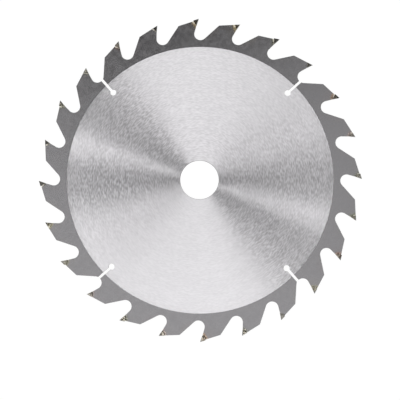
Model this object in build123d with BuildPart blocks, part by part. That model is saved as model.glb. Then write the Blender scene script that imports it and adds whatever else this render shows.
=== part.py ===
from build123d import *
import math
import os

# Circular saw blade with brazed carbide tips, in millimetres and degrees.
# The origin is the bore's centre in the middle of the plate's thickness, and +Z is the bore's axis.
# Seen from +Z the teeth point clockwise, and tooth 1 stands at +Y.

# Blade plate
blade_diameter = 250.0  # over the highest corners of the tips
bore_diameter = 30.0
bore_chamfer = 0.2
plate_thickness = 2.2
ring_width = 5.3  # unground ring, from the gullets' root circle to the ground disc
grinding_depth = 0.04  # of the disc on each face

# Teeth of the plate, each angle taken from the radius through its tooth's point
tooth_count = 24
gullet_depth = 16.5
gullet_radius = 4.9
front_wall_angle = 16.0
back_wall_angle = 33.6
land_angle = 17.0
land_drop = 0.55  # of the land's line under the tooth's point

# Expansion slots, each running from a round hole into the bottom of a gullet
slot_count = 4
slot_first_tooth = 4  # the tooth whose gullet takes the first slot
slot_width = 2.0
slot_length = 12.8  # from the root circle to the hole's centre
slot_hole_diameter = 4.8
slot_lean = 3.6

# Carbide tips
kerf_width = 3.2
hook_angle = 20.0
clearance_angle = 16.0
bevel_angle = 12.0
relief_behind_face = 2.0  # side relief per side, from the face backwards
relief_below_top = 1.0  # side relief per side, from the top downwards
tip_face_length = 5.0
tip_top_length = 4.4
tip_back_radius = 10.0
tip_step = 0.1  # of the tip's face ahead of the plate's front wall

# Braze between tip and plate
braze_gap = 0.12
braze_spread = 1.2  # of the fillet over the plate's face
braze_rise_share = 0.9  # of the tip's overhang at its heel

# Sizes that follow
blade_radius = blade_diameter / 2
tooth_pitch = 360.0 / tooth_count
root_radius = blade_radius - gullet_depth
ground_radius = root_radius - ring_width
blank_radius = blade_radius - land_drop
slot_turn = -(slot_first_tooth - 1) * tooth_pitch


def heading(angle):
    """Direction in the drawing of tooth 1: 0 points outwards and 90 points forwards."""
    return Vector(math.sin(math.radians(angle)), math.cos(math.radians(angle)))


def tangent_of(angle):
    return math.tan(math.radians(angle))


# The tip's outline: face, top, and a rounded back that seats in the plate
tip_point = Vector(0, blade_radius)
face_down = heading(180 + hook_angle)
face_back = heading(hook_angle - 90)
tip_foot = tip_point + face_down * tip_face_length
tip_heel = tip_point + heading(-90 - clearance_angle) * tip_top_length

with BuildSketch() as tip_outline:
    with BuildLine():
        Line(tip_point, tip_heel)
        tip_back = RadiusArc(tip_heel, tip_foot, -tip_back_radius)
        Line(tip_foot, tip_point)
    make_face()

with BuildSketch() as seat_outline:
    add(tip_outline.sketch)
    offset(amount=braze_gap)

# The gullet touches the front wall and bottoms on the root circle
wall_point = tip_foot + face_back * tip_step
wall_up = heading(front_wall_angle)
beside_wall = wall_point + heading(front_wall_angle + 90) * gullet_radius
along_wall = beside_wall.dot(wall_up)
gullet_circle_radius = root_radius + gullet_radius
wall_drop = along_wall - math.sqrt(along_wall**2 - beside_wall.length**2 + gullet_circle_radius**2)
gullet_center = beside_wall - wall_up * wall_drop

# The opening from one tooth's front wall, round the gullet, to the land of the tooth ahead
back_wall_up = heading(back_wall_angle + tooth_pitch)
land_back = heading(tooth_pitch - 90 - land_angle)
land_front = heading(tooth_pitch) * blank_radius
gullet_sweep = 180 + front_wall_angle - back_wall_angle - tooth_pitch
past_rim = 2 * gullet_depth
beyond_teeth = heading(tooth_pitch / 2) * blade_diameter

with BuildSketch() as tooth_gap:
    with BuildLine():
        gullet = CenterArc(gullet_center, gullet_radius, 180 - front_wall_angle, gullet_sweep)
        front_wall = Line(gullet @ 0, (gullet @ 0) + wall_up * past_rim)
        land = Line(land_front, land_front + land_back * blade_radius, mode=Mode.PRIVATE)
        back_wall = IntersectingLine(gullet @ 1, back_wall_up, land)
        Polyline(back_wall @ 1, land_front, beyond_teeth, front_wall @ 1)
    make_face()

with BuildSketch() as toothed_outline:
    Circle(blank_radius)
    with PolarLocations(0, tooth_count):
        add(tooth_gap.sketch, mode=Mode.SUBTRACT)

# Blade plate
slot_hole_center = gullet_center.normalized() * (root_radius - slot_length)
slot_reach = slot_length + gullet_radius

with BuildPart() as blade_plate:
    with BuildSketch():
        add(toothed_outline.sketch)
        with PolarLocations(0, tooth_count):
            add(seat_outline.sketch, mode=Mode.SUBTRACT)
        with PolarLocations(0, slot_count, start_angle=slot_turn):
            with Locations(slot_hole_center):
                Circle(slot_hole_diameter / 2, mode=Mode.SUBTRACT)
                Rectangle(
                    slot_width,
                    slot_reach,
                    rotation=-slot_lean,
                    align=(Align.CENTER, Align.MIN),
                    mode=Mode.SUBTRACT,
                )
        Circle(bore_diameter / 2, mode=Mode.SUBTRACT)
    extrude(amount=plate_thickness / 2, both=True)
    with BuildSketch(
        Plane.XY.offset(plate_thickness / 2),
        Plane.XY.offset(-plate_thickness / 2),
    ):
        Circle(ground_radius)
    extrude(amount=grinding_depth, both=True, mode=Mode.SUBTRACT)
    round_edges = blade_plate.edges().filter_by(GeomType.CIRCLE)
    chamfer(round_edges.sort_by_distance((0, 0, 0))[:2], length=bore_chamfer)

blade_plate.part.label = "blade_plate"

# Carbide tips: relieved on both sides, with the top bevelled up to one face of the blade
side_fall = face_back * tangent_of(relief_behind_face) + face_down * tangent_of(relief_below_top)
bevel_fall = heading(-clearance_angle).Y * tangent_of(bevel_angle)


def make_tip(high_side):
    """Carbide tip of tooth 1. high_side is 1 where the top is highest at +Z, and -1 at -Z."""
    with BuildPart() as tip:
        with BuildSketch():
            add(tip_outline.sketch)
        extrude(amount=kerf_width / 2, both=True)
        for side in (1, -1):
            side_plane = Plane(
                origin=tip_point + Vector(0, 0, side * kerf_width / 2),
                z_dir=side_fall + Vector(0, 0, side),
            )
            split(bisect_by=side_plane, keep=Keep.BOTTOM)
        top_plane = Plane(
            origin=tip_point + Vector(0, 0, high_side * kerf_width / 2),
            z_dir=heading(-clearance_angle) - Vector(0, 0, high_side * bevel_fall),
        )
        split(bisect_by=top_plane, keep=Keep.BOTTOM)
    return tip.part


# Braze: a foil in the seat with a fillet on each face, turned about the centre of the tip's back
tip_back_center = tip_back.arc_center
heel_spoke = tip_heel - tip_back_center
foot_spoke = tip_foot - tip_back_center
heel_half_width = kerf_width / 2 - side_fall.dot(tip_heel - tip_point)
braze_rise = braze_rise_share * (heel_half_width - plate_thickness / 2)
seat_radius = tip_back_radius + braze_gap
# Turned on past the foot by half as much again, because the front wall trims it
braze_sweep = 1.5 * heel_spoke.get_angle(foot_spoke)

with BuildPart() as braze_joint:
    with BuildSketch(
        Plane(
            origin=tip_back_center,
            x_dir=heel_spoke,
            z_dir=heel_spoke.cross(Vector(0, 0, 1)),
        )
    ):
        with BuildLine():
            Polyline(
                (tip_back_radius, 0),
                (tip_back_radius, plate_thickness / 2 + braze_rise),
                (seat_radius + braze_spread, plate_thickness / 2),
                (seat_radius, plate_thickness / 2),
                (seat_radius, 0),
                close=True,
            )
        make_face()
    revolve(axis=Axis(tip_back_center, (0, 0, 1)), revolution_arc=braze_sweep)
    mirror(about=Plane.XY)
    with BuildSketch():
        add(toothed_outline.sketch)
    extrude(amount=kerf_width / 2, both=True, mode=Mode.INTERSECT)

os.makedirs("parts", exist_ok=True)
export_step(blade_plate.part, "parts/blade_plate.step")

# Tips and joints of all teeth, numbered clockwise from tooth 1, with the bevel on alternate sides
bevelled_tips = [make_tip(1), make_tip(-1)]

for tooth in range(tooth_count):
    tooth_turn = (0, 0, -tooth * tooth_pitch)
    with BuildPart() as carbide_tip:
        add(bevelled_tips[tooth % 2], rotation=tooth_turn)
    carbide_tip.part.label = f"carbide_tip_{tooth + 1:02d}"
    export_step(carbide_tip.part, f"parts/{carbide_tip.part.label}.step")

    with BuildPart() as braze:
        add(braze_joint.part, rotation=tooth_turn)
    braze.part.label = f"braze_{tooth + 1:02d}"
    export_step(braze.part, f"parts/{braze.part.label}.step")
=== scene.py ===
import math

import bmesh
import bpy
import numpy as np
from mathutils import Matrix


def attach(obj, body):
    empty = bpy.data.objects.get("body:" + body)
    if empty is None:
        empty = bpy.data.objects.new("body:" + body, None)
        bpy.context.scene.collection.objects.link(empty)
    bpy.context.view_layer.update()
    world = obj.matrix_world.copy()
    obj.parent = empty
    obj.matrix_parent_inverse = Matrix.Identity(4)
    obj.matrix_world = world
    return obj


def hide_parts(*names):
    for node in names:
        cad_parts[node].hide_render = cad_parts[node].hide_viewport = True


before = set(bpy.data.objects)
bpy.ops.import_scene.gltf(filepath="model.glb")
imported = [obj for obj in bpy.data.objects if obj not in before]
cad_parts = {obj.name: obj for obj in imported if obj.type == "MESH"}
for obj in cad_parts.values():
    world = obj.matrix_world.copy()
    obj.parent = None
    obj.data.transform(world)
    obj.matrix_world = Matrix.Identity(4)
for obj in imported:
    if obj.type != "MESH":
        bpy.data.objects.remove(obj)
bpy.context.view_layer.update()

print("frame loaded with", len(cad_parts), "nodes")

mm = 0.001
scene = bpy.context.scene

# The blade's own measures, in millimetres and degrees, as its drawing has them
blade = {
    "teeth": 24,
    "boreRadius": 15.0,
    "halfThickness": 1.1,
    "groundRadius": 103.2,
    "grindingDepth": 0.04,  # of the disc on each face
    "tipBackCentre": (4.9446, 127.7671),  # of the rounded back, in the drawing of tooth 1
    "tipBackRadius": 10.0,
    "brazeGap": 0.12,
    "landPoint": (0.0, 124.45),
    "landHeading": -107.0,  # headings: 0 outwards, 90 forwards
    "frontWallPoint": (-1.804, 120.336),
    "frontWallHeading": 16.0,
}
toothPitch = 2 * math.pi / blade["teeth"]
seatRadius = blade["tipBackRadius"] + blade["brazeGap"]


# Small helpers for node trees
def feed(tree, socket, source):
    if isinstance(source, bpy.types.NodeSocket):
        tree.links.new(source, socket)
    else:
        socket.default_value = source


def addNode(tree, kind, inputs=(), **settings):
    item = tree.nodes.new(kind)
    for name, value in settings.items():
        setattr(item, name, value)
    for name, source in dict(inputs).items():
        feed(tree, item.inputs[name], source)
    return item


def calc(tree, operation, *values):
    return addNode(tree, "ShaderNodeMath", enumerate(values), operation=operation).outputs[0]


def vectorCalc(tree, operation, *values):
    item = addNode(tree, "ShaderNodeVectorMath", enumerate(values), operation=operation)
    return item.outputs["Value" if operation in ("LENGTH", "DOT_PRODUCT") else "Vector"]


# Step from low at start to high at end, smooth or straight
def fade(tree, value, start, end, low=0.0, high=1.0, how="SMOOTHSTEP"):
    limits = (value, start, end, low, high)
    return addNode(tree, "ShaderNodeMapRange", enumerate(limits), interpolation_type=how).outputs["Result"]


# From one limit where a noise is faint to the other where it is strong
def vary(tree, pattern, limits, faint=0.3, strong=0.7):
    return fade(tree, pattern, faint, strong, *limits)


def mixColour(tree, share, first, second, how="MIX"):
    item = addNode(tree, "ShaderNodeMix", data_type="RGBA", blend_type=how)
    for index, source in ((0, share), (6, first), (7, second)):
        feed(tree, item.inputs[index], source)
    return item.outputs[2]


# A colour made darker or lighter by a tone, 1 being as it is
def toned(tree, colour, tone):
    return mixColour(tree, 1.0, colour, tone, "MULTIPLY")


def mixNumber(tree, share, first, second):
    return addNode(tree, "ShaderNodeMix", {0: share, 2: first, 3: second}, data_type="FLOAT").outputs[0]


def vector(tree, x, y, z):
    return addNode(tree, "ShaderNodeCombineXYZ", {"X": x, "Y": y, "Z": z}).outputs[0]


def partsOf(tree, source):
    return addNode(tree, "ShaderNodeSeparateXYZ", {"Vector": source}).outputs


# Scale is in patches for each unit of the place, which is a metre on Object coordinates
def noise(tree, place, scale, detail=2.0, roughness=0.5):
    sources = {"Vector": place, "Scale": scale, "Detail": detail, "Roughness": roughness}
    return addNode(tree, "ShaderNodeTexNoise", sources).outputs[0]


def stretched(tree, place, scale):
    return addNode(tree, "ShaderNodeMapping", {"Vector": place, "Scale": scale}).outputs[0]


def newGroup(name, inputs, outputs):
    tree = bpy.data.node_groups.new(name, "ShaderNodeTree")
    for label, kind in inputs.items():
        tree.interface.new_socket(label, in_out="INPUT", socket_type="NodeSocket" + kind)
    for label, kind in outputs.items():
        tree.interface.new_socket(label, in_out="OUTPUT", socket_type="NodeSocket" + kind)
    return tree, tree.nodes.new("NodeGroupInput").outputs, tree.nodes.new("NodeGroupOutput").inputs


def useGroup(tree, group, **sources):
    item = tree.nodes.new("ShaderNodeGroup")
    item.node_tree = group
    for name, source in sources.items():
        feed(tree, item.inputs[name], source)
    return item.outputs


def newMaterial(name):
    material = bpy.data.materials.new(name)
    material.use_nodes = True
    tree = material.node_tree
    return material, tree, tree.nodes["Principled BSDF"]


def objectPoint(tree):
    return addNode(tree, "ShaderNodeTexCoord").outputs["Object"]


# What every metal ends with. The bump is its depth in millimetres and its strength.
def finishMetal(tree, shader, colour, roughness, height, bump):
    depth, strength = bump
    relief = addNode(tree, "ShaderNodeBump", {"Height": height, "Distance": depth * mm, "Strength": strength})
    feed(tree, shader.inputs["Base Color"], colour)
    feed(tree, shader.inputs["Roughness"], roughness)
    feed(tree, shader.inputs["Normal"], relief.outputs[0])
    shader.inputs["Metallic"].default_value = 1.0


# Place on the blade: radius, height, and the position in the drawing of the nearest tooth.
# The angle is turned into whole pitches clockwise from +Y, and what is left over is that
# tooth's own angle, from which Across (forwards) and Out are found. All in millimetres.
def makeToothPlace():
    tree, inside, outside = newGroup(
        "toothPlace",
        {"Point": "Vector"},
        {"Across": "Float", "Out": "Float", "Tooth": "Float", "Radius": "Float", "Height": "Float"},
    )
    parts = partsOf(tree, inside["Point"])
    flat = vector(tree, parts["X"], parts["Y"], 0.0)
    radius = calc(tree, "DIVIDE", vectorCalc(tree, "LENGTH", flat), mm)
    turned = calc(tree, "DIVIDE", calc(tree, "ARCTAN2", parts["X"], parts["Y"]), toothPitch)
    whole = calc(tree, "ROUND", turned)
    rest = calc(tree, "MULTIPLY", calc(tree, "SUBTRACT", turned, whole), toothPitch)
    feed(tree, outside["Across"], calc(tree, "MULTIPLY", radius, calc(tree, "SINE", rest)))
    feed(tree, outside["Out"], calc(tree, "MULTIPLY", radius, calc(tree, "COSINE", rest)))
    feed(tree, outside["Tooth"], calc(tree, "FLOORED_MODULO", whole, float(blade["teeth"])))
    feed(tree, outside["Radius"], radius)
    feed(tree, outside["Height"], calc(tree, "DIVIDE", parts["Z"], mm))
    return tree


# Grinding marks: noise stretched along the circle round the bore. Its place is the point over
# Length, with the radius over Width above it, so a mark is as long and as thin at any radius.
# The height moves it on, so that the two faces have different marks.
def makeRoundMarks():
    tree, inside, outside = newGroup(
        "roundMarks",
        {"Point": "Vector", "Radius": "Float", "Length": "Float", "Width": "Float", "Detail": "Float"},
        {"Marks": "Float"},
    )
    shiftOfFaces = 5000.0  # for each metre of height
    parts = partsOf(tree, inside["Point"])
    long = calc(tree, "MULTIPLY", inside["Length"], mm)
    ring = calc(tree, "DIVIDE", inside["Radius"], inside["Width"])
    place = vector(
        tree,
        calc(tree, "DIVIDE", parts["X"], long),
        calc(tree, "DIVIDE", parts["Y"], long),
        calc(tree, "MULTIPLY_ADD", parts["Z"], shiftOfFaces, ring),
    )
    feed(tree, outside["Marks"], noise(tree, place, 1.0, inside["Detail"]))
    return tree


heat = {
    "reach": (3.2, 0.6),  # mm from the tip's back where the tint ends and where it is full
    "hazeReach": (11.0, 2.0),  # the same for the faint tint further out
    "haze": 0.05,  # share of the tint out there
    "wander": 3.0,  # mm by which the tint's edge goes in and out
    "wanderNoise": {"scale": 700.0, "detail": 3.0},
    "speckNoise": {"scale": 1100.0, "detail": 1.0},
    "speckInset": 0.6,  # mm inside the tip's back where the specks are thickest
    "speckReach": (3.2, 1.4),  # mm from there where they end and where they are full
    "sootLevels": (0.49, 0.40),  # of the noise, where soot starts and is full
    "splashLevels": (0.53, 0.62),
    "tints": {  # colour that the steel takes beside the braze
        "gold": (0.30, 0.20, 0.07),
        "amber": (0.44, 0.33, 0.11),
        "straw": (0.30, 0.28, 0.16),
        "olive": (0.15, 0.16, 0.10),
        "orange": (0.34, 0.20, 0.11),
        "russet": (0.15, 0.075, 0.06),
        "rose": (0.28, 0.20, 0.18),
        "bare": (0.21, 0.205, 0.21),
    },
    # One row for each tooth, clockwise from tooth 1
    "columns": ("tint", "strength", "beadWidth", "brazeShine", "carbideTone", "specks"),
    "teeth": [
        ("gold", 0.9, 1.6, 1.0, 0.6, 0.2),
        ("amber", 1.0, 2.0, 1.0, 0.9, 0.5),
        ("olive", 0.6, 1.3, 0.9, 0.8, 0.2),
        ("bare", 0.1, 0.5, 0.0, 1.0, 0.0),
        ("orange", 0.6, 1.0, 0.6, 0.35, 0.3),
        ("rose", 0.5, 0.8, 0.6, 0.45, 0.4),
        ("olive", 0.4, 0.9, 0.5, 0.4, 0.3),
        ("olive", 0.7, 0.8, 0.6, 0.25, 0.3),
        ("russet", 0.9, 0.8, 0.0, 0.3, 0.5),
        ("straw", 0.8, 1.6, 1.0, 0.3, 0.4),
        ("bare", 0.1, 0.6, 0.0, 0.55, 0.1),
        ("olive", 0.4, 0.9, 0.1, 0.3, 0.9),
        ("orange", 0.8, 1.2, 0.5, 0.45, 1.0),
        ("rose", 0.7, 1.0, 0.5, 0.55, 1.0),
        ("olive", 0.5, 0.9, 0.3, 0.3, 1.0),
        ("rose", 0.4, 0.9, 0.1, 0.6, 0.5),
        ("straw", 0.5, 1.2, 0.2, 0.6, 0.3),
        ("straw", 0.8, 1.3, 0.85, 0.1, 0.4),
        ("bare", 0.2, 1.2, 0.6, 0.15, 0.1),
        ("bare", 0.2, 1.0, 0.65, 0.1, 0.1),
        ("olive", 0.5, 1.0, 0.55, 0.12, 0.4),
        ("olive", 0.3, 0.8, 0.3, 0.25, 0.3),
        ("russet", 0.7, 0.9, 0.7, 0.35, 0.3),
        ("bare", 0.1, 0.8, 0.45, 0.35, 0.0),
    ],
}
toothLooks = [dict(zip(heat["columns"], row)) for row in heat["teeth"]]


# A ramp in equal steps, one for each tooth, read at the middle of the tooth's step
def toothRamp(tree, tooth, colours):
    ramp = addNode(tree, "ShaderNodeValToRGB")
    stops = ramp.color_ramp
    stops.interpolation = "CONSTANT"
    while len(stops.elements) < blade["teeth"]:
        stops.elements.new(0.5)
    for index, colour in enumerate(colours):
        stops.elements[index].position = index / blade["teeth"]
        stops.elements[index].color = colour
    middle = calc(tree, "ADD", tooth, 0.5)
    feed(tree, ramp.inputs[0], calc(tree, "DIVIDE", middle, float(blade["teeth"])))
    return ramp.outputs


# Heat tint round a brazed joint: the tooth's colour is picked from a stepped ramp, and its
# strength falls off with the distance from the tip's back, with an uneven edge. Small specks
# lie along the joint, dark ones of burnt flux (Soot) and bright ones of braze (Splash).
def makeHeatTint(toothPlace):
    tree, inside, outside = newGroup(
        "heatTint",
        {"Point": "Vector"},
        {
            "Colour": "Color",
            "Share": "Float",
            "Distance": "Float",
            "Haze": "Float",
            "Soot": "Float",
            "Splash": "Float",
            "Shine": "Float",
            "Tone": "Float",
        },
    )
    place = useGroup(tree, toothPlace, Point=inside["Point"])
    awayX = calc(tree, "SUBTRACT", place["Across"], blade["tipBackCentre"][0])
    awayY = calc(tree, "SUBTRACT", place["Out"], blade["tipBackCentre"][1])
    away = vectorCalc(tree, "LENGTH", vector(tree, awayX, awayY, 0.0))
    distance = calc(tree, "SUBTRACT", away, blade["tipBackRadius"])
    colours = [(*heat["tints"][look["tint"]], look["strength"]) for look in toothLooks]
    tints = toothRamp(tree, place["Tooth"], colours)
    shares = [(look["brazeShine"], look["carbideTone"], look["specks"], 1) for look in toothLooks]
    shares = toothRamp(tree, place["Tooth"], shares)["Color"]
    looks = addNode(tree, "ShaderNodeSeparateColor", {"Color": shares}).outputs
    wander = noise(tree, inside["Point"], **heat["wanderNoise"])
    inner = calc(tree, "SUBTRACT", distance, heat["wander"] / 2)
    edge = calc(tree, "MULTIPLY_ADD", wander, heat["wander"], inner)
    share = fade(tree, edge, *heat["reach"])
    haze = fade(tree, edge, *heat["hazeReach"])
    fromSpecks = calc(tree, "ABSOLUTE", calc(tree, "ADD", edge, heat["speckInset"]))
    near = calc(tree, "MULTIPLY", fade(tree, fromSpecks, *heat["speckReach"]), looks["Blue"])
    spots = noise(tree, inside["Point"], **heat["speckNoise"])
    feed(tree, outside["Colour"], tints["Color"])
    feed(tree, outside["Share"], calc(tree, "MULTIPLY", share, tints["Alpha"]))
    feed(tree, outside["Distance"], distance)
    feed(tree, outside["Haze"], calc(tree, "MULTIPLY", haze, tints["Alpha"]))
    feed(tree, outside["Soot"], calc(tree, "MULTIPLY", near, fade(tree, spots, *heat["sootLevels"])))
    feed(tree, outside["Splash"], calc(tree, "MULTIPLY", near, fade(tree, spots, *heat["splashLevels"])))
    feed(tree, outside["Shine"], looks["Red"])
    feed(tree, outside["Tone"], looks["Green"])
    return tree


toothPlace = makeToothPlace()
roundMarks = makeRoundMarks()
heatTint = makeHeatTint(toothPlace)

specks = {
    # Dark colour of burnt flux, also used for the painted shadow at the tips' feet
    "sootAndShade": (0.05, 0.045, 0.035, 1),
    "splash": (0.80, 0.74, 0.62, 1),
    "splashShare": 0.8,
}


# Specks of flux and braze over a colour
def speckle(tree, tint, colour, strength):
    splash = calc(tree, "MULTIPLY", tint["Splash"], specks["splashShare"] * strength)
    colour = mixColour(tree, splash, colour, specks["splash"])
    return mixColour(tree, calc(tree, "MULTIPLY", tint["Soot"], strength), colour, specks["sootAndShade"])


groundDisc = {
    "colour": (0.705, 0.693, 0.712, 1),
    "inToOut": (20.0, 100.0),  # mm, radii between which the next two change
    "tone": (1.0, 0.985),
    "roughness": (0.395, 0.315),  # the marks are finer towards the rim
    "leastRoughness": 0.28,
    "rimShadeReach": (97.0, 102.0),  # mm, radii where a painted shade, darker towards the rim, starts and is full
    "rimShadeTone": 0.965,
    "fineMarks": {"Length": 2.8, "Width": 0.54, "Detail": 0.5},  # length and width in mm
    "broadMarks": {"Length": 16.0, "Width": 2.6, "Detail": 3.0},
    "broadTone": (-0.02, 0.02),
    "stray": 0.5,  # mm by which the marks may leave a true circle
    "strayNoise": {"scale": 200.0, "detail": 1.0},
    "markRoughness": 0.053,  # a deep mark is rougher and darker, and a shallow one brighter
    "markTone": 0.060,
    "bump": (0.01, 1.0),
    "anisotropy": 1.0,
    # Sides where the marks differ: their angle from +X, how far to each side of it that starts
    # and is full, all in degrees, and the marks' share elsewhere and there. On the sides at 140 and
    # 0 degrees, where the lit disc shows dark wedges, the marks' stronger darkening is painted shade
    "sides": {
        "calm": {"angle": 250, "starts": 69.5, "full": 41.4, "shares": (1.1, 0.6), "opposite": False},
        "wedgeShade": {"angle": 140, "starts": 19.1, "full": 9.9, "shares": (1.0, 2.2), "opposite": True},
        "level": {"angle": 0, "starts": 15.2, "full": 5.7, "shares": (1.0, 2.0), "opposite": True},
        "even": {"angle": 163, "starts": 18.2, "full": 8.1, "shares": (1.0, 0.75), "opposite": True},
    },
}


# Share at a place, given as its direction from the bore: the cosine of the angle between it
# and the side's own direction is compared with those where the side starts and is full
def sideShare(tree, direction, side):
    turn, starts, full = (math.radians(side[key]) for key in ("angle", "starts", "full"))
    along = vectorCalc(tree, "DOT_PRODUCT", direction, (math.cos(turn), math.sin(turn), 0.0))
    if side["opposite"]:
        along = calc(tree, "ABSOLUTE", along)
    return fade(tree, along, math.cos(starts), math.cos(full), *side["shares"])


def makeGroundDisc():
    material, tree, shader = newMaterial("groundDisc")
    point = objectPoint(tree)
    radius = useGroup(tree, toothPlace, Point=point)["Radius"]
    wobble = noise(tree, point, **groundDisc["strayNoise"])
    stray = calc(tree, "MULTIPLY_ADD", wobble, groundDisc["stray"], radius)
    fine = useGroup(tree, roundMarks, Point=point, Radius=stray, **groundDisc["fineMarks"])["Marks"]
    broad = useGroup(tree, roundMarks, Point=point, Radius=stray, **groundDisc["broadMarks"])["Marks"]
    direction = vectorCalc(tree, "NORMALIZE", point)
    shares = {name: sideShare(tree, direction, side) for name, side in groundDisc["sides"].items()}
    # Depth of a mark, from -1 to 1, and what it does to the tone and the roughness
    deep = calc(tree, "MULTIPLY", vary(tree, fine, (-1.0, 1.0)), shares["calm"])
    # Partly painted shade: the marks darken the colour more on the sides at 140 and 0 degrees, where the lit
    # disc shows dark wedges
    deepToneAndShade = calc(tree, "MULTIPLY", deep, calc(tree, "MAXIMUM", shares["wedgeShade"], shares["level"]))
    deepRoughness = calc(tree, "MULTIPLY", deep, shares["even"])
    tone = fade(tree, radius, *groundDisc["inToOut"], *groundDisc["tone"], how="LINEAR")
    # Painted shade: the disc's colour is made darker towards its rim
    rim = fade(tree, radius, *groundDisc["rimShadeReach"], 1.0, groundDisc["rimShadeTone"])
    tone = calc(tree, "MULTIPLY_ADD", tone, rim, vary(tree, broad, groundDisc["broadTone"]))
    tone = calc(tree, "MULTIPLY_ADD", deepToneAndShade, -groundDisc["markTone"], tone)
    rough = fade(tree, radius, *groundDisc["inToOut"], *groundDisc["roughness"], how="LINEAR")
    rough = calc(tree, "MULTIPLY_ADD", deepRoughness, groundDisc["markRoughness"], rough)
    rough = calc(tree, "MAXIMUM", rough, groundDisc["leastRoughness"])
    colour = toned(tree, groundDisc["colour"], tone)
    finishMetal(tree, shader, colour, rough, fine, groundDisc["bump"])
    # The grinding marks run round the bore and spread the light outwards from it
    outwards = vectorCalc(tree, "MULTIPLY", point, (1.0, 1.0, 0.0))
    outwards = addNode(
        tree,
        "ShaderNodeVectorTransform",
        {"Vector": outwards},
        vector_type="VECTOR",
        convert_from="OBJECT",
        convert_to="WORLD",
    )
    feed(tree, shader.inputs["Tangent"], outwards.outputs[0])
    shader.inputs["Anisotropic"].default_value = groundDisc["anisotropy"]
    return material


rolledRing = {
    "colour": (0.2105, 0.2057, 0.2121, 1),
    "mottle": {"scale": 260.0, "detail": 4.0, "roughness": 0.6},
    "mottleTone": (0.93, 1.07),
    "grain": {"scale": 1800.0, "detail": 3.0, "roughness": 0.6},
    "grainTone": (-0.04, 0.04),
    "roughness": (0.21, 0.27),
    "roughnessLevels": (0.25, 0.75),  # of the mottle
    "specks": 0.8,
    "bump": (0.01, 0.4),
}


def makeRolledRing():
    material, tree, shader = newMaterial("rolledRing")
    point = objectPoint(tree)
    tint = useGroup(tree, heatTint, Point=point)
    mottle = noise(tree, point, **rolledRing["mottle"])
    grain = noise(tree, point, **rolledRing["grain"])
    tone = vary(tree, mottle, rolledRing["mottleTone"])
    tone = calc(tree, "ADD", tone, vary(tree, grain, rolledRing["grainTone"]))
    steel = toned(tree, rolledRing["colour"], tone)
    steel = mixColour(tree, calc(tree, "MULTIPLY", tint["Haze"], heat["haze"]), steel, tint["Colour"])
    steel = mixColour(tree, tint["Share"], steel, tint["Colour"])
    steel = speckle(tree, tint, steel, rolledRing["specks"])
    rough = vary(tree, mottle, rolledRing["roughness"], *rolledRing["roughnessLevels"])
    finishMetal(tree, shader, steel, rough, grain, rolledRing["bump"])
    return material


cutEdge = {
    "colour": (0.20, 0.195, 0.19, 1),
    "ridges": {"scale": 5200.0, "detail": 2.0},
    "ridgeStretch": (1.0, 1.0, 0.06),
    "ridgeTone": (0.85, 1.15),
    "patches": {"scale": 300.0, "detail": 3.0},
    "patchTone": (-0.08, 0.08),
    "tint": 0.7,  # share of the heat tint that the wall takes
    "roughness": (0.36, 0.48),
    "bump": (0.03, 0.7),
}


# Laser-cut walls: fine ridges across the thickness, and the heat tint at the tips
def makeCutEdge():
    material, tree, shader = newMaterial("cutEdge")
    point = objectPoint(tree)
    tint = useGroup(tree, heatTint, Point=point)
    ridges = noise(tree, stretched(tree, point, cutEdge["ridgeStretch"]), **cutEdge["ridges"])
    patches = noise(tree, point, **cutEdge["patches"])
    tone = vary(tree, ridges, cutEdge["ridgeTone"])
    tone = calc(tree, "ADD", tone, vary(tree, patches, cutEdge["patchTone"]))
    steel = toned(tree, cutEdge["colour"], tone)
    share = calc(tree, "MULTIPLY", tint["Share"], cutEdge["tint"])
    steel = mixColour(tree, share, steel, tint["Colour"])
    rough = vary(tree, patches, cutEdge["roughness"])
    finishMetal(tree, shader, steel, rough, ridges, cutEdge["bump"])
    return material


reamedBore = {
    "colour": (0.22, 0.215, 0.22, 1),
    "rings": {"scale": 9000.0, "detail": 3.0},
    "ringStretch": (0.05, 0.05, 1.0),
    "ringTone": (0.9, 1.1),
    "patches": {"scale": 400.0, "detail": 3.0},
    "patchTone": (-0.05, 0.05),
    "roughness": (0.25, 0.35),
    "bump": (0.01, 0.6),
}


# Reamed wall and chamfer of the bore: marks that run round it
def makeReamedBore():
    material, tree, shader = newMaterial("reamedBore")
    point = objectPoint(tree)
    rings = noise(tree, stretched(tree, point, reamedBore["ringStretch"]), **reamedBore["rings"])
    patches = noise(tree, point, **reamedBore["patches"])
    tone = vary(tree, rings, reamedBore["ringTone"])
    tone = calc(tree, "ADD", tone, vary(tree, patches, reamedBore["patchTone"]))
    steel = toned(tree, reamedBore["colour"], tone)
    rough = vary(tree, patches, reamedBore["roughness"])
    finishMetal(tree, shader, steel, rough, rings, reamedBore["bump"])
    return material


carbide = {
    "colour": (0.34, 0.33, 0.30, 1),  # at tone 1
    "marksAcross": 9.0,  # grinding marks in a millimetre, across the tooth
    "marksAlong": 0.7,  # and along it
    "markShift": 7.0,  # from one tooth to the next, so that no two are alike
    "markDetail": 3.0,
    "markTone": (0.92, 1.08),
    "pores": {"scale": 9000.0, "detail": 2.0},
    "poreLevels": (0.55, 0.75),
    "poreTone": (0.0, -0.12),
    "scorchReach": (-2.6, 0.0),  # mm from the tip's back, inside the tip
    "scorch": 0.45,
    "footReach": (122.6, 120.6),  # mm from the blade's centre, where the painted shadow at the tip's foot starts and is full
    "footShade": 0.7,
    "specks": 1.0,
    "roughness": (0.12, 0.21),
    "bump": (0.01, 0.5),
}


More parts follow.
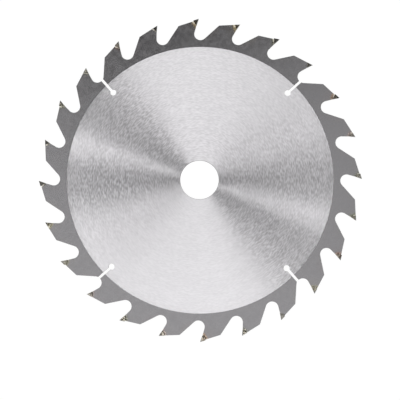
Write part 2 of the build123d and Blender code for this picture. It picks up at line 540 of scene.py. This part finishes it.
# Sintered carbide, ground on every face: fine straight marks along the tooth's radius
def makeCarbide():
    material, tree, shader = newMaterial("groundCarbide")
    point = objectPoint(tree)
    place = useGroup(tree, toothPlace, Point=point)
    tint = useGroup(tree, heatTint, Point=point)
    height = calc(tree, "MULTIPLY", place["Height"], carbide["marksAlong"])
    along = vector(
        tree,
        calc(tree, "MULTIPLY", place["Across"], carbide["marksAcross"]),
        calc(tree, "MULTIPLY", place["Out"], carbide["marksAlong"]),
        calc(tree, "MULTIPLY_ADD", place["Tooth"], carbide["markShift"], height),
    )
    marks = noise(tree, along, 1.0, carbide["markDetail"])
    pores = noise(tree, point, **carbide["pores"])
    tone = vary(tree, marks, carbide["markTone"])
    tone = calc(tree, "ADD", tone, vary(tree, pores, carbide["poreTone"], *carbide["poreLevels"]))
    metal = toned(tree, carbide["colour"], calc(tree, "MULTIPLY", tone, tint["Tone"]))
    scorch = calc(tree, "MULTIPLY", fade(tree, tint["Distance"], *carbide["scorchReach"]), tint["Haze"])
    metal = mixColour(tree, calc(tree, "MULTIPLY", scorch, carbide["scorch"]), metal, tint["Colour"])
    # Painted shadow: the tip's foot, beside the gap at its seat, is darkened towards the soot colour
    foot = fade(tree, place["Out"], *carbide["footReach"])
    metal = mixColour(tree, calc(tree, "MULTIPLY", foot, carbide["footShade"]), metal, specks["sootAndShade"])
    metal = speckle(tree, tint, metal, carbide["specks"])
    rough = vary(tree, marks, carbide["roughness"])
    finishMetal(tree, shader, metal, rough, marks, carbide["bump"])
    return material


silverBraze = {
    "colour": (0.74, 0.71, 0.63, 1),
    "shade": (0.20, 0.19, 0.165, 1),
    "patches": {"scale": 1500.0, "detail": 3.0},
    "grain": {"scale": 6000.0, "detail": 3.0},
    # Where the shine starts and is full: in the patches' noise, at the bead's outer edge in mm
    # from the tip's back, and at the bead's two ends in mm from the blade's centre
    "patchLevels": (0.68, 0.42),
    "edge": (1.7, 1.0),
    "lowEnd": (120.9, 121.7),
    "highEnd": (123.7, 122.9),
    "shineLevels": (0.0, 0.8),
    "tint": 0.35,
    "specks": 0.5,
    "roughness": (0.25, 0.45),
    "patchHeight": 3.0,  # times the grain's
    "bump": (0.03, 0.6),
}


# Silver braze: bright where it was wiped, and dull in patches, towards its edge and at whole teeth
def makeSilverBraze():
    material, tree, shader = newMaterial("silverBraze")
    point = objectPoint(tree)
    tint = useGroup(tree, heatTint, Point=point)
    out = useGroup(tree, toothPlace, Point=point)["Out"]
    patches = noise(tree, point, **silverBraze["patches"])
    grain = noise(tree, point, **silverBraze["grain"])
    bright = calc(tree, "MULTIPLY", tint["Shine"], fade(tree, patches, *silverBraze["patchLevels"]))
    bright = calc(tree, "MULTIPLY", bright, fade(tree, tint["Distance"], *silverBraze["edge"]))
    bright = calc(tree, "MULTIPLY", bright, fade(tree, out, *silverBraze["lowEnd"]))
    bright = calc(tree, "MULTIPLY", bright, fade(tree, out, *silverBraze["highEnd"]))
    bright = fade(tree, bright, *silverBraze["shineLevels"])
    metal = mixColour(tree, bright, silverBraze["shade"], silverBraze["colour"])
    share = calc(tree, "MULTIPLY", tint["Share"], silverBraze["tint"])
    metal = mixColour(tree, share, metal, tint["Colour"])
    metal = speckle(tree, tint, metal, silverBraze["specks"])
    rough = vary(tree, patches, silverBraze["roughness"])
    height = calc(tree, "MULTIPLY_ADD", patches, silverBraze["patchHeight"], grain)
    finishMetal(tree, shader, metal, rough, height, silverBraze["bump"])
    return material


finishes = {
    "disc": makeGroundDisc(),
    "ring": makeRolledRing(),
    "cut": makeCutEdge(),
    "bore": makeReamedBore(),
    "carbide": makeCarbide(),
    "braze": makeSilverBraze(),
}
print("finishes made:", ", ".join(finishes))

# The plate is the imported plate's shape, with its cut edges eased
plate = {
    "ease": 0.12,  # mm taken off the edges of the outline and the slots
    "easeSteps": 2,
    "easeProfile": 0.5,  # a round one
    "merge": 0.0001,  # mm within which corners are one
    "flatWithin": 1.0,  # degrees between faces that are one
    "onCircle": 0.05,  # mm within which an edge lies on a circle
    "boreRoom": 1.0,  # mm round the bore's wall that belong to the bore
    "wallNormal": 0.1,  # Z of a wall's normal is less than this
    "faceNormal": 0.9,  # of a face's beside it is more than this
    "flatNormal": 0.999,  # and of a quite flat face's more than this
    "smoothUnder": 40,  # degrees
}


# Distance from the centre of the nearest tooth's seat, in millimetres, for an array of points.
# Each point is turned back by whole pitches into the drawing of tooth 1.
def seatDistance(points):
    angle = np.arctan2(points[:, 0], points[:, 1])
    rest = angle - np.round(angle / toothPitch) * toothPitch
    radius = np.hypot(points[:, 0], points[:, 1]) / mm
    across = radius * np.sin(rest) - blade["tipBackCentre"][0]
    out = radius * np.cos(rest) - blade["tipBackCentre"][1]
    return np.hypot(across, out)


# Edges between a wall and a face, apart from the disc's rim, the bore and the tips' seats
def edgesToEase(shape):
    edges = [e for e in shape.edges if len(e.link_faces) == 2]
    middles = np.array([(e.verts[0].co + e.verts[1].co) / 2 for e in edges])
    rises = np.array([sorted(abs(f.normal.z) for f in e.link_faces) for e in edges])
    radius = np.hypot(middles[:, 0], middles[:, 1]) / mm
    cut = (rises[:, 0] < plate["wallNormal"]) & (rises[:, 1] > plate["faceNormal"])
    cut &= np.abs(radius - blade["groundRadius"]) > plate["onCircle"]
    cut &= radius > blade["boreRadius"] + plate["boreRoom"]
    cut &= np.abs(seatDistance(middles) - seatRadius) >= plate["onCircle"]
    return [edges[i] for i in np.flatnonzero(cut)]


# Flat faces are the disc or the ring by their height, and the rest are cut walls or the bore
def paintPlate(mesh):
    count = len(mesh.polygons)
    normals, centres = np.zeros(count * 3), np.zeros(count * 3)
    mesh.polygons.foreach_get("normal", normals)
    mesh.polygons.foreach_get("center", centres)
    normals, centres = normals.reshape(-1, 3), centres.reshape(-1, 3)
    flat = np.abs(normals[:, 2]) > plate["flatNormal"]
    low = np.abs(centres[:, 2]) < (blade["halfThickness"] - blade["grindingDepth"] / 2) * mm
    inner = np.hypot(centres[:, 0], centres[:, 1]) < (blade["boreRadius"] + plate["boreRoom"]) * mm
    slots = np.where(flat, np.where(low, 0, 1), np.where(inner, 3, 2))
    mesh.materials.clear()
    for finish in ("disc", "ring", "cut", "bore"):
        mesh.materials.append(finishes[finish])
    mesh.polygons.foreach_set("material_index", slots.astype(np.int32))
    mesh.set_sharp_from_angle(angle=math.radians(plate["smoothUnder"]))
    mesh.polygons.foreach_set("use_smooth", ~flat)
    mesh.update()


def makePlate():
    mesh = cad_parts["blade_plate"].data.copy()
    mesh.name = "sawPlate"
    shape = bmesh.new()
    shape.from_mesh(mesh)
    bmesh.ops.remove_doubles(shape, verts=shape.verts, dist=plate["merge"] * mm)
    flatWithin = math.radians(plate["flatWithin"])
    bmesh.ops.dissolve_limit(shape, angle_limit=flatWithin, verts=shape.verts, edges=shape.edges)
    shape.normal_update()
    bmesh.ops.bevel(
        shape,
        geom=edgesToEase(shape),
        offset=plate["ease"] * mm,
        segments=plate["easeSteps"],
        profile=plate["easeProfile"],
        affect="EDGES",
        clamp_overlap=True,
    )
    shape.to_mesh(mesh)
    shape.free()
    paintPlate(mesh)
    piece = bpy.data.objects.new("saw_plate", mesh)
    scene.collection.objects.link(piece)
    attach(piece, "root")
    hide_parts("blade_plate")


makePlate()
print("plate eased and finished")

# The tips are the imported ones, whose shape is already the ground one
for name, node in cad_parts.items():
    if name.startswith("carbide_tip_"):
        node.data.materials.clear()
        node.data.materials.append(finishes["carbide"])
print("tips finished")

# The braze is a bead round the back of each tip, on both faces
bead = {
    "spread": 0.85,  # mm over the plate's face
    "rise": 0.28,  # mm up the tip's side
    "crown": 1.3,  # 1 is a full round bead, 2 a straight fillet
    "wander": 0.34,  # share by which spread and rise vary along the bead
    "waves": (1.0, 2.3, 4.1),  # turns that each wave in that makes over the bead's length
    "waveSum": 2.2,  # by which their sum is divided
    "endReach": 0.10,  # share of the length over which each end tapers
    "endSize": 0.45,  # share of its size that is left at the ends
    "stepsAlong": 33,
    "stepsOver": 9,
    "smoothUnder": 50,  # degrees
    "seed": 31,
}


# Angle at which circles of these radii round the tip's back centre cross a straight line. Side
# is 1 for the crossing further along the line's heading and -1 for the other.
def crossingAngle(radii, point, heading, side):
    turn = math.radians(heading)
    along = np.array([math.sin(turn), math.cos(turn)])
    start = np.subtract(point, blade["tipBackCentre"])
    reach = along @ start
    span = np.sqrt(reach**2 - start @ start + radii**2)
    found = start[:, None, None] + along[:, None, None] * (side * span - reach)
    return np.arctan2(found[1], found[0]) % (2 * np.pi)


# Slow waves along the bead: a few sines with their own phases
def waves(place, random):
    total = np.zeros_like(place)
    for turns in bead["waves"]:
        total += np.sin(2 * np.pi * (turns * place + random.random())) / turns**0.5
    return total / bead["waveSum"]


# The bead's section is a closed loop: over the front, down the tip's back, over the rear and
# back through the seat. On each face it spreads with the cosine of an angle and rises with its
# sine, both to the power of the crown. It is carried along the arc, and each point runs from the
# land's line to the front wall's line, so the bead ends where the plate does.
def makeBead(tooth):
    random = np.random.default_rng(bead["seed"] + tooth)
    along = np.linspace(0, 1, bead["stepsAlong"])
    ends = np.clip(np.minimum(along, 1 - along) / bead["endReach"], 0, 1)
    taper = bead["endSize"] + (1 - bead["endSize"]) * np.sqrt(ends * (2 - ends))
    over = np.linspace(0, np.pi / 2, bead["stepsOver"])
    foot = np.cos(over) ** bead["crown"]
    head = np.sin(over) ** bead["crown"]
    half = blade["halfThickness"]
    width = bead["spread"] * toothLooks[tooth]["beadWidth"]
    radii, heights = [], []
    for side in (1, -1):
        spread = width * (1 + bead["wander"] * waves(along, random)) * taper
        rise = bead["rise"] * (1 + bead["wander"] * waves(along, random)) * taper
        radius = blade["tipBackRadius"] + (blade["brazeGap"] + spread)[:, None] * foot
        height = side * (half + rise[:, None] * head)
        radii.append(radius[:, ::side])
        heights.append(height[:, ::side])
    radii.append(np.full((len(along), 2), seatRadius))
    heights.append(np.tile([-half, half], (len(along), 1)))
    radii, heights = np.hstack(radii), np.hstack(heights)
    land = crossingAngle(radii, blade["landPoint"], blade["landHeading"], 1)
    wall = crossingAngle(radii, blade["frontWallPoint"], blade["frontWallHeading"], -1)
    angle = land + (wall - land) * along[:, None]
    x = blade["tipBackCentre"][0] + radii * np.cos(angle)
    y = blade["tipBackCentre"][1] + radii * np.sin(angle)
    sine, cosine = math.sin(tooth * toothPitch), math.cos(tooth * toothPitch)
    return np.stack([x * cosine + y * sine, y * cosine - x * sine, heights], -1) * mm


# A grid of points, closed round its second direction, with a fan over each end. The faces are
# turned about where the volume comes out negative.
def closedTube(grid):
    rows, columns, _ = grid.shape
    index = np.arange(rows * columns).reshape(rows, columns)
    after = np.roll(index, -1, axis=1)
    quads = np.stack([index[:-1], after[:-1], after[1:], index[1:]], -1).reshape(-1, 4)
    centres = np.array([grid[0].mean(0), grid[-1].mean(0)])
    points = np.vstack([grid.reshape(-1, 3), centres])
    firstFan = np.stack([after[0], index[0], np.full(columns, rows * columns)], -1)
    lastFan = np.stack([index[-1], after[-1], np.full(columns, rows * columns + 1)], -1)
    a, b, c, d = (points[quads[:, i]] for i in range(4))
    volume = (np.cross(a, b) * c).sum() + (np.cross(a, c) * d).sum()
    faces = [*quads.tolist(), *firstFan.tolist(), *lastFan.tolist()]
    return points, [f[::-1] for f in faces] if volume < 0 else faces


for tooth in range(blade["teeth"]):
    points, faces = closedTube(makeBead(tooth))
    mesh = bpy.data.meshes.new(f"brazeBead{tooth + 1:02d}")
    mesh.from_pydata(points.tolist(), [], faces)
    mesh.set_sharp_from_angle(angle=math.radians(bead["smoothUnder"]))
    mesh.materials.append(finishes["braze"])
    piece = bpy.data.objects.new(f"braze_bead_{tooth + 1:02d}", mesh)
    scene.collection.objects.link(piece)
    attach(piece, "root")
    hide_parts(f"braze_{tooth + 1:02d}")
print("braze beads made")

# White floor, and a world with soft boxes overhead
studio = {
    "floorHeight": -1.6,  # mm, under the lowest corners of the tips
    "floorReach": 12.0,  # m
    "floorSides": 64,
    "floorColour": (0.85, 0.85, 0.85, 1),
    "floorWhite": 0.94,  # share of the floor that is plain white where it is seen
    "floorStrength": 1.04,  # of that white
    "ambient": 0.01,
    "horizon": 1.17,  # light all round, low down
    "horizonFade": (0.30, 0.17),  # Z of a direction, where that starts and is full
    "lowest": 0.02,  # Z under which the ceiling isn't carried on
    # Soft boxes on a ceiling one unit above the blade: place, half sizes, turn in degrees, soft
    # edge and level
    "boxes": {
        "key": {"place": (-0.77, -1.22), "half": (1.31, 1.01), "turn": 20, "edge": 0.05, "level": 1.15},
        "glow": {"place": (-0.98, -1.33), "half": (1.25, 1.29), "turn": 4, "edge": 0.11, "level": 0.38},
        "fill": {"place": (0.09, 1.69), "half": (1.05, 1.10), "turn": 26, "edge": 0.12, "level": 1.44},
        "strip": {"place": (-1.15, 0.395), "half": (1.02, 0.02), "turn": 162, "edge": 0.04, "level": 4.20},
        "counter": {"place": (1.15, -0.34), "half": (0.77, 0.07), "turn": -19, "edge": 0.04, "level": 1.55},
        "spark": {"place": (0.15, 0.135), "half": (0.05, 0.07), "turn": 50, "edge": 0.11, "level": 1.65},
    },
}


# A plain white floor where it is seen, which still takes the blade's shadow. From below it is
# see-through, so that the blade's back shows.
def makeFloorWhite():
    material, tree, shader = newMaterial("floorWhite")
    path = addNode(tree, "ShaderNodeLightPath").outputs
    seen = calc(tree, "MAXIMUM", path["Is Camera Ray"], path["Is Glossy Ray"])
    seen = calc(tree, "MAXIMUM", seen, path["Is Transmission Ray"])
    paint = addNode(tree, "ShaderNodeBsdfDiffuse", {"Color": studio["floorColour"]})
    white = addNode(tree, "ShaderNodeEmission", {"Strength": studio["floorStrength"]})
    share = calc(tree, "MULTIPLY", seen, studio["floorWhite"])
    mixed = addNode(tree, "ShaderNodeMixShader", {0: share, 1: paint.outputs[0], 2: white.outputs[0]})
    below = addNode(tree, "ShaderNodeNewGeometry").outputs["Backfacing"]
    clear = addNode(tree, "ShaderNodeBsdfTransparent")
    mixed = addNode(tree, "ShaderNodeMixShader", {0: below, 1: mixed.outputs[0], 2: clear.outputs[0]})
    feed(tree, tree.nodes["Material Output"].inputs["Surface"], mixed.outputs[0])
    tree.nodes.remove(shader)
    return material


def makeFloor():
    sides = studio["floorSides"]
    around = np.linspace(0, 2 * np.pi, sides, endpoint=False)
    rim = np.stack([np.cos(around), np.sin(around), 0 * around], -1) * studio["floorReach"]
    rim[:, 2] = studio["floorHeight"] * mm
    mesh = bpy.data.meshes.new("floor")
    mesh.from_pydata(rim.tolist(), [], [list(range(sides))])
    mesh.materials.append(makeFloorWhite())
    floor = bpy.data.objects.new("floor", mesh)
    scene.collection.objects.link(floor)


# A soft box: full inside its two half sizes, and fading out over its soft edge. The point is
# taken from the box's place and turned back by the box's turn before it is measured.
def makeSoftBox():
    tree, inside, outside = newGroup(
        "softBox",
        {
            "Point": "Vector",
            "Place": "Vector",
            "Turn": "Float",
            "HalfX": "Float",
            "HalfY": "Float",
            "Edge": "Float",
            "Level": "Float",
        },
        {"Light": "Float"},
    )
    offset = vectorCalc(tree, "SUBTRACT", inside["Point"], inside["Place"])
    back = calc(tree, "MULTIPLY", inside["Turn"], -1.0)
    turned = addNode(
        tree, "ShaderNodeVectorRotate", {"Vector": offset, "Angle": back}, rotation_type="Z_AXIS"
    )
    parts = partsOf(tree, turned.outputs[0])
    light = inside["Level"]
    for axis, half in (("X", "HalfX"), ("Y", "HalfY")):
        room = calc(tree, "SUBTRACT", inside[half], calc(tree, "ABSOLUTE", parts[axis]))
        share = fade(tree, calc(tree, "DIVIDE", room, inside["Edge"]), -0.5, 0.5)
        light = calc(tree, "MULTIPLY", light, share)
    feed(tree, outside["Light"], light)
    return tree


# The boxes' levels add up on a ceiling, which a direction meets at its X and its Y, both over
# its Z. What the camera itself sees is plain white.
def makeWorld():
    world = bpy.data.worlds.new("studio")
    scene.world = world
    world.use_nodes = True
    tree = world.node_tree
    parts = partsOf(tree, addNode(tree, "ShaderNodeTexCoord").outputs["Generated"])
    up = calc(tree, "MAXIMUM", parts["Z"], studio["lowest"])
    ceiling = vector(tree, calc(tree, "DIVIDE", parts["X"], up), calc(tree, "DIVIDE", parts["Y"], up), 0.0)
    softBox = makeSoftBox()
    light = studio["ambient"]
    for box in studio["boxes"].values():
        shown = useGroup(
            tree,
            softBox,
            Point=ceiling,
            Place=(*box["place"], 0.0),
            Turn=math.radians(box["turn"]),
            HalfX=box["half"][0],
            HalfY=box["half"][1],
            Edge=box["edge"],
            Level=box["level"],
        )
        light = calc(tree, "ADD", light, shown["Light"])
    low = fade(tree, parts["Z"], *studio["horizonFade"])
    sky = mixNumber(tree, low, light, studio["horizon"])
    seen = addNode(tree, "ShaderNodeLightPath").outputs["Is Camera Ray"]
    background = tree.nodes["Background"].inputs
    feed(tree, background["Strength"], mixNumber(tree, seen, sky, 1.0))
    background["Color"].default_value = (1, 1, 1, 1)


makeFloor()
makeWorld()
scene.view_settings.view_transform = "Standard"
print("floor and lights set")

view = {
    "place": (38.04, -34.70, 859.01),  # mm
    "turn": (1.2674, 2.5178, -0.2337),  # degrees
    "lens": 100.0,  # mm
    "sensor": 36.0,  # mm
}
cameraData = bpy.data.cameras.new("camera")
cameraData.lens = view["lens"]
cameraData.sensor_width = view["sensor"]
camera = bpy.data.objects.new("camera", cameraData)
camera.location = [c * mm for c in view["place"]]
camera.rotation_euler = [math.radians(a) for a in view["turn"]]
scene.collection.objects.link(camera)
scene.camera = camera
